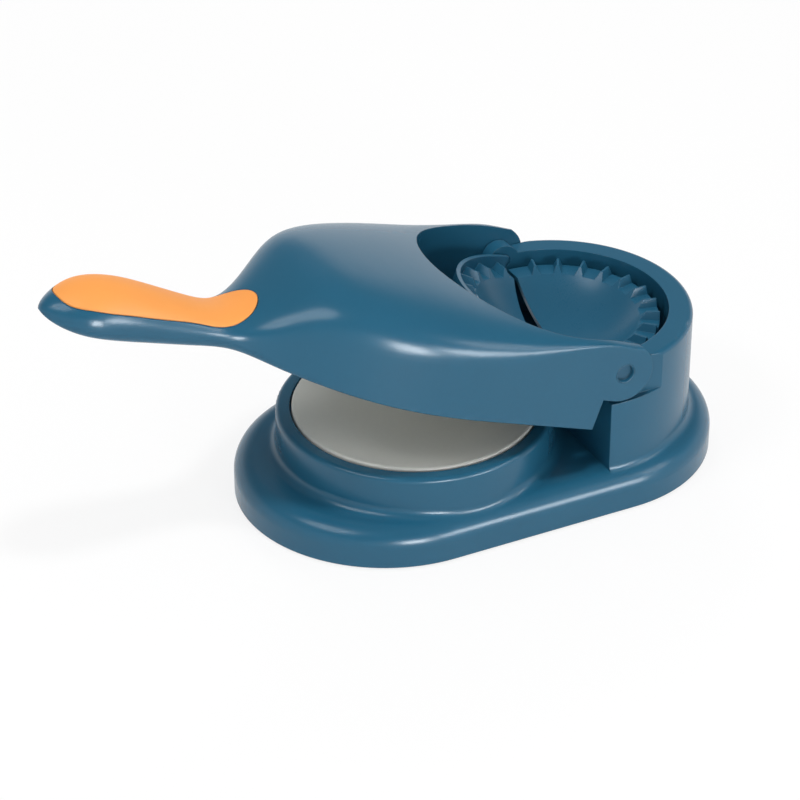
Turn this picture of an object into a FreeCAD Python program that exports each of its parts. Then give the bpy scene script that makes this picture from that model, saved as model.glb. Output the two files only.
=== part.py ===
import FreeCAD, Part
import Sketcher
import math
import os

# Dumpling maker: a stadium base with a press cup and a mould tower, and a hinged lever that
# carries the upper press plate, the front mould half and the handle.
# +X points to the rear, +Z up, the origin is the centre of the footprint on the table.
# The lever is modelled closed, then stands open by lever_open_angle about its hinge.

SIZES = {
    # base moulding
    "base_width": 120.0,
    "front_strip": 18.0,
    "rear_strip": 10.0,
    "plate_to_hinge": 63.0,
    "foot_drop": 1.0,
    "deck_z": 17.0,
    "deck_round": 8.0,
    "foot_round": 4.0,
    "wall": 3.0,
    "rim_round": 2.0,
    # cup and lower plate
    "cup_margin": 5.0,
    "cup_rim_z": 34.0,
    "cup_rim_width": 5.6,
    "plate_fit": 0.8,
    "plate_proud": 1.0,
    "plate_thickness": 4.0,
    "plate_round": 1.0,
    # tower and lugs
    "tower_margin": 6.0,
    "tower_top_z": 63.0,
    "tower_front": 5.2,
    "hinge_drop": 3.0,
    "tower_wall": 9.5,
    "well_depth": 22.0,
    "ledge_drop": 13.0,
    "lug_thickness": 6.1,
    "lug_radius": 7.0,
    "lug_boss_radius": 6.5,
    "side_gap": 0.2,
    "lug_boss_height": 0.4,
    # hinge pins
    "pin_radius": 3.0,
    "pin_head_radius": 4.0,
    "pin_head_length": 1.6,
    "pin_fit": 0.05,
    "pin_round": 0.5,
    # mould halves
    "mould_gap": 0.5,
    "crimp_width": 8.0,
    "bowl_depth": 16.2,
    "mould_wall": 2.0,
    "crimp_drop": 2.2,
    "tooth_rise": 3.0,
    "tooth_foot": 4.0,
    "tooth_tip": 0.8,
    "tooth_sink": 0.5,
    "teeth": 12,
    "trim_fit": 0.3,
    "trim_wall": 1.7,
    "trim_rise": 3.5,
    "well_fit": 1.5,
    "mould_boss_radius": 4.0,
    # lever
    "lever_open_angle": 20.0,
    "handle_length": 88.0,
    "lid_overhang": 15.0,
    "ear_thickness": 3.3,
    "ear_radius": 12.0,
    "ear_rise": 12.5,
    "ear_run": 5.0,
    "ear_gap": 0.6,
    "lid_gap": 0.8,
    "lid_crown": 15.0,
    "lid_edge_round": 0.8,
    "cut_forward": 13.0,
    "inlay_thickness": 2.0,
    "inlay_gap": 0.3,
    "inlay_bed": 0.15,
    "inlay_margin": 2.6,
    "inlay_front_gap": 4.5,
    "inlay_rear_gap": 3.0,
    "grip_width": 32.25,
    "grip_height": 17.75,
    # plates under the lid
    "press_gap": 1.5,
    "upper_plate_thickness": 3.0,
    "under_cover_thickness": 2.0,
    "cover_fit": 0.4,
    "lid_boss_radius": 3.6,
    "upper_screw_clear": 1.0,
    # bottom cover and feet
    "bottom_cover_thickness": 2.0,
    "bottom_cover_fit": 0.3,
    "foot_radius": 7.0,
    "foot_seat": 1.0,
    "foot_edge": 0.4,
    "cover_boss_radius": 3.6,
    "rib_thickness": 2.0,
    # screws
    "screw_radius": 1.3,
    "screw_head_radius": 2.6,
    "screw_head_length": 1.4,
    "screw_length": 8.0,
    "short_screw_length": 4.0,
    "screw_fit": 0.05,
    # allowance past a face for every cut, and how near a point counts as on a face
    "overrun": 2.0,
    "nearness": 0.001,
}

# Lever cross-sections. Each row holds shares: the place along the reach, half the width, the
# lower edge, the height where the side turns over, the crown, the fullness of the turn and the
# round of the lower edge. The lid's rows run from behind the hinge to the lid's front end and
# follow the ears' half width and the lid's height; the handle's rows run from there to the tip
# and follow the grip's half width and height.
LID_SHARES = [
    (-0.105, 1.000, 0.000, 0.890, 0.936, 0.960, 0.020),
    (0.045, 1.000, 0.000, 0.890, 0.936, 0.960, 0.020),
    (0.196, 1.002, 0.000, 0.800, 0.935, 0.900, 0.020),
    (0.361, 1.004, 0.000, 0.640, 0.952, 0.820, 0.020),
    (0.512, 0.992, 0.000, 0.560, 0.972, 0.760, 0.020),
    (0.661, 0.930, 0.000, 0.510, 0.964, 0.760, 0.020),
    (0.798, 0.795, 0.000, 0.460, 0.935, 0.790, 0.025),
    (0.902, 0.625, 0.000, 0.380, 0.845, 0.800, 0.035),
    (1.000, 0.412, 0.000, 0.250, 0.548, 0.730, 0.060),
]
HANDLE_SHARES = [
    (0.149, 0.929, 0.057, 0.332, 0.771, 0.600, 0.198),
    (0.319, 0.865, 0.046, 0.288, 0.793, 0.560, 0.209),
    (0.545, 0.953, 0.046, 0.288, 0.991, 0.560, 0.209),
    (0.716, 1.000, 0.046, 0.288, 1.068, 0.560, 0.209),
    (0.842, 0.899, 0.057, 0.288, 0.958, 0.560, 0.187),
    (0.932, 0.574, 0.101, 0.277, 0.705, 0.560, 0.121),
    (0.982, 0.270, 0.178, 0.266, 0.463, 0.560, 0.055),
    (1.000, 0.054, 0.239, 0.266, 0.296, 0.560, 0.015),
]

# Half outline of the handle's inlay, tip to lid: share along its length, share of its half width
INLAY_SHARES = [
    (0.000, 0.00),
    (0.045, 0.62),
    (0.145, 0.95),
    (0.300, 1.03),
    (0.500, 0.95),
    (0.680, 0.86),
    (0.830, 0.85),
    (0.945, 0.66),
    (1.000, 0.00),
]

# Places of the bottom cover's screws: shares of half the base's length and of its half width
COVER_SCREW_SHARES = [(-0.80, 0.50), (0.16, 0.86), (0.83, 0.42)]
# Places of the outer feet: shares of half the base's length and of its half width
FOOT_SHARES = (0.68, 0.60)
# Places of the lid's screw bosses: shares from the plate's centre to its edge
LID_BOSS_SHARES = [(-0.72, 0.50), (-0.22, 0.86)]
# Place of the upper plate's front screw: share from the plate's centre to its edge
UPPER_SCREW_SHARE = -0.62
# Turn of its rear screws round the cut-out, from straight ahead, in degrees
UPPER_SCREW_TURN = 27
# Place of a mould half's screw boss: shares of the rear mould's radius, off the parting and across
MOULD_BOSS_SHARES = (0.49, 0.34)

doc = FreeCAD.newDocument("dumpling_maker")
sheet = doc.addObject("Spreadsheet::Sheet", "sizes")
for row, (alias, number) in enumerate(SIZES.items(), start=1):
    sheet.set(f"A{row}", alias)
    sheet.set(f"B{row}", str(number))
    sheet.setAlias(f"B{row}", alias)
doc.recompute()


class Size:
    """A number and the sheet expression that gives it."""

    def __init__(self, value, text):
        self.value = value
        self.text = text

    def __float__(self):
        return float(self.value)

    def __add__(self, other):
        other = size(other)
        return Size(self.value + other.value, f"({self.text} + {other.text})")

    def __sub__(self, other):
        other = size(other)
        return Size(self.value - other.value, f"({self.text} - {other.text})")

    def __mul__(self, share):
        return Size(self.value * share, f"({self.text} * {share})")

    def __truediv__(self, count):
        return Size(self.value / count, f"({self.text} / {count})")

    def __neg__(self):
        return Size(-self.value, f"(-1 * {self.text})")


def size(value):
    return value if isinstance(value, Size) else Size(value, str(value))


def cell(alias):
    return Size(float(sheet.get(alias)), f"sizes.{alias}")


ZERO = size(0)
UP = FreeCAD.Vector(0, 0, 1)
SIDEWAYS = FreeCAD.Vector(0, 1, 0)

# Plan of the base
wall = cell("wall")
overrun = cell("overrun")
base_half_width = cell("base_width") / 2
cup_radius = base_half_width - cell("cup_margin")
tower_radius = base_half_width - cell("tower_margin")
plate_to_hinge = cell("plate_to_hinge")
base_length = cell("front_strip") + cup_radius + plate_to_hinge + tower_radius + cell("rear_strip")
hinge_x = base_length / 2 - cell("rear_strip") - tower_radius
cup_x = hinge_x - plate_to_hinge
tower_front_x = hinge_x - cell("tower_front")

# Heights of the base
base_bottom_z = cell("foot_drop")
deck_z = cell("deck_z")
cup_rim_z = cell("cup_rim_z")
plate_top_z = cup_rim_z + cell("plate_proud")
plate_seat_z = plate_top_z - cell("plate_thickness")
tower_top_z = cell("tower_top_z")
hinge_z = tower_top_z - cell("hinge_drop")
well_floor_z = hinge_z - cell("well_depth")
ledge_z = hinge_z - cell("ledge_drop")
bottom_cover_top_z = base_bottom_z + cell("bottom_cover_thickness")

# Hinge, from the well outwards
well_radius = tower_radius - cell("tower_wall")
lug_face_y = well_radius + cell("lug_thickness")
lug_boss_y = lug_face_y + cell("lug_boss_height")
ear_inner_y = lug_boss_y + cell("side_gap")
ear_outer_y = ear_inner_y + cell("ear_thickness")
pin_bore_radius = cell("pin_radius") + cell("pin_fit")

# Lever, closed
lever_bottom_z = cup_rim_z + cell("lid_gap")
lid_top_z = hinge_z + cell("lid_crown")
lid_height = lid_top_z - lever_bottom_z
lid_front_x = cup_x - cup_radius - cell("lid_overhang")
lever_tip_x = lid_front_x - cell("handle_length")
grip_half_width = cell("grip_width") / 2
lever_rear_x = tower_front_x - cell("ear_gap")
cut_radius = ear_inner_y
cut_x = hinge_x - cell("cut_forward")
upper_plate_radius = cup_radius - cell("cup_rim_width")
upper_plate_z = plate_top_z + cell("press_gap")
under_cover_z = upper_plate_z + cell("upper_plate_thickness")
under_cover_top_z = under_cover_z + cell("under_cover_thickness")

# Mould halves
crimp_z = hinge_z - cell("crimp_drop")
rear_mould_radius = well_radius - cell("well_fit") - cell("trim_wall") - cell("trim_fit")
bowl_radius = rear_mould_radius - cell("crimp_width")
trim_inner_radius = rear_mould_radius + cell("trim_fit")
trim_outer_radius = trim_inner_radius + cell("trim_wall")
bowl_drop = cell("bowl_depth") - cell("crimp_drop")


def bind(thing, prop, value):
    thing.setExpression(prop, size(value).text)


def move_to(thing, x=ZERO, y=ZERO, z=ZERO):
    for axis, value in zip("xyz", (x, y, z)):
        bind(thing, f"Placement.Base.{axis}", value)
    return thing


def cylinder(name, radius, height, x=ZERO, y=ZERO, z=ZERO, lying=False):
    """A cylinder upright on z, or lying along +Y."""
    thing = doc.addObject("Part::Cylinder", name)
    if lying:
        thing.Placement.Rotation = FreeCAD.Rotation(FreeCAD.Vector(1, 0, 0), -90)
    bind(thing, "Radius", radius)
    bind(thing, "Height", height)
    return move_to(thing, x, y, z)


def half_cylinder(name, radius, height, x, z, facing):
    """Half a cylinder on the side that facing turns to, in degrees from +X."""
    thing = cylinder(name, radius, height)
    thing.Angle = 180
    thing.Placement.Rotation = FreeCAD.Rotation(UP, facing - 90)
    return move_to(thing, x, ZERO, z)


def box(name, low, high):
    thing = doc.addObject("Part::Box", name)
    for prop, start, end in zip(("Length", "Width", "Height"), low, high):
        bind(thing, prop, size(end) - size(start))
    return move_to(thing, *[size(value) for value in low])


def sphere(name, radius, x, z):
    thing = doc.addObject("Part::Sphere", name)
    bind(thing, "Radius", radius)
    return move_to(thing, x, ZERO, z)


def fuse(name, things):
    thing = doc.addObject("Part::MultiFuse", name)
    thing.Shapes = things
    thing.Refine = True
    return thing


def cut(name, base, tools):
    thing = doc.addObject("Part::Cut", name)
    thing.Base = base
    thing.Tool = tools[0] if len(tools) == 1 else fuse(name + "_tools", tools)
    thing.Refine = True
    return thing


def common(name, things):
    thing = doc.addObject("Part::MultiCommon", name)
    thing.Shapes = things
    return thing


def origin_plane(body, role):
    return next(plane for plane in body.Origin.OriginFeatures if plane.Role == role)


def new_sketch(body, name, plane):
    sketch = body.newObject("Sketcher::SketchObject", name)
    sketch.AttachmentSupport = [(origin_plane(body, plane), "")]
    sketch.MapMode = "FlatFace"
    return sketch


def hold(sketch, kind, *where_and_value):
    *where, value = where_and_value
    number = sketch.addConstraint(Sketcher.Constraint(kind, *where, float(value)))
    bind(sketch, f"Constraints[{number}]", value)


def pad(body, sketch, name, height):
    """Raise a sketch of the body by a height."""
    feature = body.newObject("PartDesign::Pad", name)
    feature.Profile = sketch
    bind(feature, "Length", height)
    return feature


def round_edges(body, feature, name, radius, wanted):
    """Fillet the edges of a feature that the test picks."""
    doc.recompute()
    edges = [f"Edge{i}" for i, edge in enumerate(feature.Shape.Edges, start=1) if wanted(edge)]
    fillet = body.newObject("PartDesign::Fillet", name)
    fillet.Base = (feature, edges)
    bind(fillet, "Radius", radius)
    return fillet


def circle_at(radius, height):
    """Test for the circular edge of a turned piece at a radius and a height."""

    def wanted(edge):
        if not isinstance(edge.Curve, Part.Circle):
            return False
        centre = edge.Curve.Center
        return (
            abs(edge.Curve.Radius - float(radius)) < Part.Precision.approximation()
            and abs(centre.z - float(height)) < Part.Precision.approximation()
        )

    return wanted


def turned(name, outline, rounds=()):
    """A body of revolution about +Z from (radius, height) corners, with (corner, round) fillets."""
    body = doc.addObject("PartDesign::Body", name)
    sketch = new_sketch(body, name + "_outline", "XZ_Plane")
    corners = [FreeCAD.Vector(float(r), float(z), 0) for r, z in outline]
    for start, end in zip(corners, corners[1:] + corners[:1]):
        sketch.addGeometry(Part.LineSegment(start, end), False)
    for side in range(len(corners)):
        following = (side + 1) % len(corners)
        sketch.addConstraint(Sketcher.Constraint("Coincident", side, 2, following, 1))
    for side, (r, z) in enumerate(outline):
        if r is ZERO:
            sketch.addConstraint(Sketcher.Constraint("PointOnObject", side, 1, -2))
        else:
            hold(sketch, "DistanceX", -1, 1, side, 1, r)
        if z is ZERO:
            sketch.addConstraint(Sketcher.Constraint("PointOnObject", side, 1, -1))
        else:
            hold(sketch, "DistanceY", -1, 1, side, 1, z)
    feature = body.newObject("PartDesign::Revolution", name + "_turn")
    feature.Profile = sketch
    feature.ReferenceAxis = (sketch, ["V_Axis"])
    feature.Angle = 360
    for number, (corner, radius) in enumerate(rounds):
        feature = round_edges(body, feature, f"{name}_round_{number}", radius, circle_at(*corner))
    return body


def stadium(name, half_length, half_width, bottom, height, top_round=None):
    """A padded stadium, its long axis on X, with its top edge rounded."""
    body = doc.addObject("PartDesign::Body", name)
    sketch = new_sketch(body, name + "_outline", "XY_Plane")
    spread = half_length - half_width
    radius, reach = float(half_width), float(spread)
    ends = []
    for centre_x, start in ((reach, -math.pi / 2), (-reach, math.pi / 2)):
        circle = Part.Circle(FreeCAD.Vector(centre_x, 0, 0), UP, radius)
        ends.append(sketch.addGeometry(Part.ArcOfCircle(circle, start, start + math.pi), False))
    rear, front = ends
    corner = FreeCAD.Vector(reach, radius, 0)
    near = sketch.addGeometry(
        Part.LineSegment(FreeCAD.Vector(-reach, -radius, 0), FreeCAD.Vector(reach, -radius, 0)), False
    )
    far = sketch.addGeometry(Part.LineSegment(corner, FreeCAD.Vector(-reach, radius, 0)), False)
    around = [front, near, rear, far]
    for side, following in zip(around, around[1:] + around[:1]):
        sketch.addConstraint(Sketcher.Constraint("Tangent", side, 2, following, 1))
    sketch.addConstraint(Sketcher.Constraint("Equal", rear, front))
    sketch.addConstraint(Sketcher.Constraint("PointOnObject", rear, 3, -1))
    sketch.addConstraint(Sketcher.Constraint("Symmetric", rear, 3, front, 3, -1, 1))
    hold(sketch, "Radius", rear, half_width)
    hold(sketch, "DistanceX", front, 3, rear, 3, spread * 2)
    blank = pad(body, sketch, name + "_pad", height)
    if top_round is not None:
        top = float(height)
        round_edges(
            body,
            blank,
            name + "_edge",
            top_round,
            lambda edge: all(abs(v.Z - top) < Part.Precision.approximation() for v in edge.Vertexes),
        )
    return move_to(body, z=bottom)


def opened(thing):
    """Swing a closed lever piece open about the hinge axis."""
    swing = FreeCAD.Rotation(SIDEWAYS, float(cell("lever_open_angle")))
    axis = FreeCAD.Vector(float(hinge_x), 0, float(hinge_z))
    thing.Placement = FreeCAD.Placement(FreeCAD.Vector(), swing, axis).multiply(thing.Placement)
    return thing


def screw(name, x, y, seat_z, length, pointing_up=True):
    """A pan-head screw whose head lies against seat_z."""
    head = cell("screw_head_length")
    outline = [
        (ZERO, ZERO),
        (cell("screw_head_radius"), ZERO),
        (cell("screw_head_radius"), head),
        (cell("screw_radius"), head),
        (cell("screw_radius"), head + length),
        (ZERO, head + length),
    ]
    body = turned(name, outline)
    if pointing_up:
        return move_to(body, x, y, seat_z - head)
    body.Placement.Rotation = FreeCAD.Rotation(FreeCAD.Vector(1, 0, 0), 180)
    return move_to(body, x, y, seat_z + head)


def screws(name, places, seat_z, length, pointing_up=True):
    """Identical screws in one node."""
    thing = doc.addObject("Part::Compound", name)
    thing.Links = [
        screw(f"{name}_{number}", x, y, seat_z, length, pointing_up) for number, (x, y) in enumerate(places)
    ]
    return thing


def screw_hole(name, x, y, start_z, end_z):
    radius = cell("screw_radius") + cell("screw_fit")
    return cylinder(name, radius, end_z - start_z, x, y, start_z)


def mirrored_places(shares, centre_x, reach_x, reach_y):
    places = []
    for along, across in shares:
        for side in (1, -1):
            places.append((centre_x + reach_x * along, reach_y * (across * side)))
    return places


cover_screw_places = mirrored_places(COVER_SCREW_SHARES, ZERO, base_length / 2, base_half_width - wall)
lid_boss_places = mirrored_places(LID_BOSS_SHARES, cup_x, upper_plate_radius, upper_plate_radius)
mould_boss_x, mould_boss_y = [rear_mould_radius * share for share in MOULD_BOSS_SHARES]
rear_boss_places = [(hinge_x + mould_boss_x, mould_boss_y), (hinge_x + mould_boss_x, -mould_boss_y)]
front_boss_places = [(hinge_x - mould_boss_x, mould_boss_y), (hinge_x - mould_boss_x, -mould_boss_y)]
upper_screw_reach = cut_radius + wall + cell("screw_head_radius") + cell("upper_screw_clear")
upper_screw_x = cut_x - upper_screw_reach * math.cos(math.radians(UPPER_SCREW_TURN))
upper_screw_y = upper_screw_reach * math.sin(math.radians(UPPER_SCREW_TURN))
upper_screw_places = [
    (cup_x + upper_plate_radius * UPPER_SCREW_SHARE, ZERO),
    (upper_screw_x, upper_screw_y),
    (upper_screw_x, -upper_screw_y),
]
foot_x, foot_y = base_length / 2 * FOOT_SHARES[0], base_half_width * FOOT_SHARES[1]
foot_places = {
    "foot_front_left": (-foot_x, -foot_y),
    "foot_front_right": (-foot_x, foot_y),
    "foot_rear_left": (foot_x, -foot_y),
    "foot_rear_right": (foot_x, foot_y),
    "foot_middle": (ZERO, ZERO),
}


def on_drum(x, radius, low, high):
    """Test for the edges on an upright drum's wall that lie between two heights."""
    near = float(cell("nearness"))

    def wanted(edge):
        first, last = edge.ParameterRange
        points = [edge.valueAt(first + (last - first) * share) for share in (0, 0.5, 1)]
        return all(
            abs(math.hypot(point.x - float(x), point.y) - float(radius)) < near
            and float(low) - near < point.z < float(high) + near
            for point in points
        )

    return wanted


def make_base_blank():
    """Skirt, cup and tower as one solid, with rolling fillets where the drums stand on the deck."""
    rise = deck_z - base_bottom_z
    cup_rise = cup_rim_z - base_bottom_z
    tower_rise = tower_top_z - base_bottom_z
    body = stadium("base_blank", base_length / 2, base_half_width, base_bottom_z, rise, cell("deck_round"))

    ring = new_sketch(body, "cup_outline", "XY_Plane")
    cup_centre = FreeCAD.Vector(float(cup_x), 0, 0)
    ring.addGeometry(Part.Circle(cup_centre, UP, float(cup_radius)), False)
    ring.addConstraint(Sketcher.Constraint("PointOnObject", 0, 3, -1))
    hold(ring, "DistanceX", 0, 3, -1, 1, -cup_x)
    hold(ring, "Radius", 0, cup_radius)
    pad(body, ring, "cup_pad", cup_rise)

    bow = new_sketch(body, "tower_outline", "XY_Plane")
    tower_centre = FreeCAD.Vector(float(hinge_x), 0, 0)
    half_chord = math.sqrt(float(tower_radius) ** 2 - float(cell("tower_front")) ** 2)
    turn = math.atan2(half_chord, -float(cell("tower_front")))
    circle = Part.Circle(tower_centre, UP, float(tower_radius))
    arc = bow.addGeometry(Part.ArcOfCircle(circle, -turn, turn), False)
    corner = FreeCAD.Vector(float(tower_front_x), half_chord, 0)
    front = bow.addGeometry(Part.LineSegment(corner, FreeCAD.Vector(corner.x, -corner.y, 0)), False)
    bow.addConstraint(Sketcher.Constraint("Coincident", arc, 2, front, 1))
    bow.addConstraint(Sketcher.Constraint("Coincident", front, 2, arc, 1))
    bow.addConstraint(Sketcher.Constraint("Vertical", front))
    bow.addConstraint(Sketcher.Constraint("PointOnObject", arc, 3, -1))
    hold(bow, "DistanceX", -1, 1, arc, 3, hinge_x)
    hold(bow, "Radius", arc, tower_radius)
    hold(bow, "DistanceX", front, 1, arc, 3, cell("tower_front"))
    feature = pad(body, bow, "tower_pad", tower_rise)

    low = rise - cell("deck_round")
    cup_foot = on_drum(cup_x, cup_radius, low, rise)
    tower_foot = on_drum(hinge_x, tower_radius, low, rise)
    feature = round_edges(body, feature, "cup_foot", cell("foot_round"), cup_foot)
    feature = round_edges(body, feature, "tower_foot", cell("foot_round"), tower_foot)
    cup_rim = on_drum(cup_x, cup_radius, cup_rise, cup_rise)
    tower_rim = on_drum(hinge_x, tower_radius, tower_rise, tower_rise)
    feature = round_edges(body, feature, "cup_rim", cell("rim_round"), cup_rim)
    round_edges(body, feature, "tower_rim", cell("rim_round"), tower_rim)
    return body


def make_base_shell():
    """Skirt, cup and tower in one moulding, hollow from below."""
    tower_end = (hinge_x + base_half_width, base_half_width, tower_top_z + overrun)
    lug_span = lug_face_y * 2
    lug_round = cylinder("lug_round", cell("lug_radius"), lug_span, hinge_x, -lug_face_y, hinge_z, True)
    body = fuse("base_solid", [make_base_blank(), lug_round])

    cuts = [
        cylinder("plate_recess", cup_radius - cell("cup_rim_width"), cup_rim_z, cup_x, ZERO, plate_seat_z),
        cylinder("well", well_radius, tower_top_z, hinge_x, ZERO, well_floor_z),
        box(
            "well_mouth",
            (tower_front_x - overrun, -well_radius, well_floor_z),
            (hinge_x, well_radius, hinge_z + cell("lug_radius") + overrun),
        ),
    ]
    for side, low, high in (("near", -base_half_width, -lug_face_y), ("far", lug_face_y, base_half_width)):
        start = (tower_front_x - overrun, low, ledge_z)
        end = (hinge_x + tower_radius, high, tower_top_z + overrun)
        cuts.append(box(f"ear_recess_{side}", start, end))

    # hollows, all open at the underside
    hollow_start = base_bottom_z - overrun
    deck_rise = deck_z - wall - hollow_start
    inner_length, inner_width = base_length / 2 - wall, base_half_width - wall
    inner_round = cell("deck_round") - wall
    cuts.append(stadium("deck_hollow", inner_length, inner_width, hollow_start, deck_rise, inner_round))
    cup_rise = plate_seat_z - wall - hollow_start
    cuts.append(cylinder("cup_hollow", cup_radius - wall, cup_rise, cup_x, ZERO, hollow_start))
    tower_rise = well_floor_z - wall - hollow_start
    inner_radius = tower_radius - wall
    tower_hollow = cylinder("tower_hollow_drum", inner_radius, tower_rise, hinge_x, ZERO, hollow_start)
    hollow_room = (tower_front_x + wall, -base_half_width, hollow_start)
    cuts.append(common("tower_hollow", [tower_hollow, box("tower_hollow_room", hollow_room, tower_end)]))
    ring_rise = tower_top_z - wall - hollow_start
    ring_gap = cylinder("ring_outer", inner_radius, ring_rise, hinge_x, ZERO, hollow_start)
    ring_core = cylinder("ring_core", well_radius + wall, tower_top_z, hinge_x, ZERO, hollow_start)
    ring_low = (hinge_x + tower_radius / 2, -base_half_width, hollow_start)
    ring_void = cut("ring_void", ring_gap, [ring_core])
    cuts.append(common("ring_hollow", [ring_void, box("ring_room", ring_low, tower_end)]))
    hollowed = cut("base_hollowed", body, cuts)

    # what stands in the hollows and on the lugs
    extras = []
    for side, start in (("near", -lug_boss_y), ("far", lug_face_y - wall)):
        reach = lug_boss_y - lug_face_y + wall
        radius = cell("lug_boss_radius")
        extras.append(cylinder(f"lug_boss_{side}", radius, reach, hinge_x, start, hinge_z, True))
    for number, (x, y) in enumerate(cover_screw_places):
        rise = deck_z - wall / 2 - bottom_cover_top_z
        radius = cell("cover_boss_radius")
        extras.append(cylinder(f"cover_boss_{number}", radius, rise, x, y, bottom_cover_top_z))
    half_rib = cell("rib_thickness") / 2
    rib_top = deck_z - wall / 2
    keel_end = base_length / 2 - cell("deck_round")
    extras.append(box("keel_rib", (-keel_end, -half_rib, bottom_cover_top_z), (keel_end, half_rib, rib_top)))
    for name, x in (("cup_rib", cup_x), ("tower_rib", hinge_x)):
        rib_end = base_half_width - cell("deck_round")
        low = (x - half_rib, -rib_end, bottom_cover_top_z)
        extras.append(box(name, low, (x + half_rib, rib_end, rib_top)))
    filled = fuse("base_filled", [hollowed] + extras)

    bores = [
        cylinder("pin_bore", pin_bore_radius, base_half_width * 2, hinge_x, -base_half_width, hinge_z, True)
    ]
    for number, (x, y) in enumerate(cover_screw_places):
        end_z = bottom_cover_top_z + cell("screw_length")
        bores.append(screw_hole(f"cover_hole_{number}", x, y, bottom_cover_top_z - overrun, end_z))
    for number, (x, y) in enumerate(rear_boss_places):
        start_z = well_floor_z - wall - overrun
        bores.append(screw_hole(f"rear_mould_hole_{number}", x, y, start_z, well_floor_z + overrun))
    return cut("base_shell", filled, bores)


def make_bottom_cover():
    """Flat cover inside the skirt, with recesses for the feet and holes for its screws."""
    fit = wall + cell("bottom_cover_fit")
    thickness = cell("bottom_cover_thickness")
    blank = stadium("cover_blank", base_length / 2 - fit, base_half_width - fit, base_bottom_z, thickness)
    cuts = []
    for name, (x, y) in foot_places.items():
        depth = cell("foot_seat") + overrun
        cuts.append(cylinder(f"{name}_seat", cell("foot_radius"), depth, x, y, base_bottom_z - overrun))
    head = cell("screw_head_length")
    for number, (x, y) in enumerate(cover_screw_places):
        radius = cell("screw_head_radius") + cell("screw_fit")
        cuts.append(cylinder(f"cover_head_{number}", radius, head + overrun, x, y, base_bottom_z - overrun))
        cuts.append(screw_hole(f"cover_pass_{number}", x, y, base_bottom_z, bottom_cover_top_z + overrun))
    return cut("bottom_cover", blank, cuts)


def make_foot(name, x, y):
    height = cell("foot_drop") + cell("foot_seat")
    edge = cell("foot_edge")
    radius = cell("foot_radius")
    outline = [(ZERO, ZERO), (radius - edge, ZERO), (radius, edge), (radius, height), (ZERO, height)]
    return move_to(turned(name, outline), x, y)


def make_lower_press_plate():
    radius = cup_radius - cell("cup_rim_width") - cell("plate_fit")
    thickness = cell("plate_thickness")
    outline = [(ZERO, ZERO), (radius, ZERO), (radius, thickness), (ZERO, thickness)]
    plate = turned("lower_press_plate", outline, [((radius, thickness), cell("plate_round"))])
    return move_to(plate, cup_x, ZERO, plate_seat_z)


def ridges(name, inner, outer, facing, first):
    """Radial crimp ridges, one pitch apart round half a turn."""
    count = int(float(cell("teeth")))
    pitch = 180 / count
    found = []
    for number in range(count if first else count - 1):
        angle = facing - 90 + pitch * (number + (first or 1))
        ridge = doc.addObject("Part::Wedge", f"{name}_{number}")
        foot, tip = cell("tooth_foot") / 2, cell("tooth_tip") / 2
        sink = cell("tooth_sink")
        for prop, value in (("Xmin", -foot), ("Xmax", foot), ("X2min", -tip), ("X2max", tip)):
            bind(ridge, prop, value)
        for prop, value in (("Ymin", -sink), ("Ymax", cell("tooth_rise"))):
            bind(ridge, prop, value)
        for prop in ("Zmin", "Z2min"):
            bind(ridge, prop, inner)
        for prop in ("Zmax", "Z2max"):
            bind(ridge, prop, outer)
        along = FreeCAD.Rotation(UP, angle).multVec(FreeCAD.Vector(1, 0, 0))
        across = UP.cross(along)
        ridge.Placement.Rotation = FreeCAD.Rotation(across, UP, along, "ZXY")
        found.append(move_to(ridge, hinge_x, ZERO, crimp_z))
    return found


def make_mould(name, radius, floor_z, facing, first, bosses, trim):
    """Half a crimping mould: a drum with a bowl, ridges round it and screw bosses under it."""
    mould_wall = cell("mould_wall")
    depth = bowl_drop
    bowl = bowl_radius
    ball_value = (float(bowl) ** 2 + float(depth) ** 2) / (2 * float(depth))
    ball = Size(ball_value, f"(({bowl.text}^2 + {depth.text}^2) / (2 * {depth.text}))")
    ball_z = crimp_z - depth + ball
    drum = half_cylinder(f"{name}_drum", radius, crimp_z - floor_z, hinge_x, floor_z, facing)
    room_start = floor_z - overrun
    room_rise = crimp_z - mould_wall - room_start
    room = half_cylinder(f"{name}_room", radius - mould_wall, room_rise, hinge_x, room_start, facing)
    hull = sphere(f"{name}_hull", ball + mould_wall, hinge_x, ball_z)
    shell = cut(f"{name}_shell", drum, [cut(f"{name}_hollow", room, [hull])])
    parts = [shell] + ridges(f"{name}_ridge", bowl, radius, facing, first)
    boss_rise = crimp_z - mould_wall / 2 - floor_z
    for number, (x, y) in enumerate(bosses):
        parts.append(cylinder(f"{name}_boss_{number}", cell("mould_boss_radius"), boss_rise, x, y, floor_z))
    if trim:
        height = crimp_z + cell("crimp_drop") + cell("trim_rise") - floor_z
        outer = half_cylinder(f"{name}_trim_outer", trim_outer_radius, height, hinge_x, floor_z, facing)
        rise = height + overrun * 2
        inner = half_cylinder(f"{name}_trim_inner", trim_inner_radius, rise, hinge_x, room_start, facing)
        parts.append(cut(f"{name}_trim", outer, [inner]))
    solid = fuse(f"{name}_solid", parts)
    gap = cell("mould_gap")
    reach = base_half_width
    top_z = tower_top_z + overrun * 2
    start_x, end_x = (hinge_x - gap, hinge_x + reach) if facing else (hinge_x - reach, hinge_x + gap)
    parting = box(f"{name}_parting", (start_x, -reach, room_start), (end_x, reach, top_z))
    cuts = [sphere(f"{name}_bowl", ball, hinge_x, ball_z), parting]
    for number, (x, y) in enumerate(bosses):
        cuts.append(screw_hole(f"{name}_pilot_{number}", x, y, room_start, floor_z + cell("screw_length")))
    return cut(name, solid, cuts)


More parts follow.
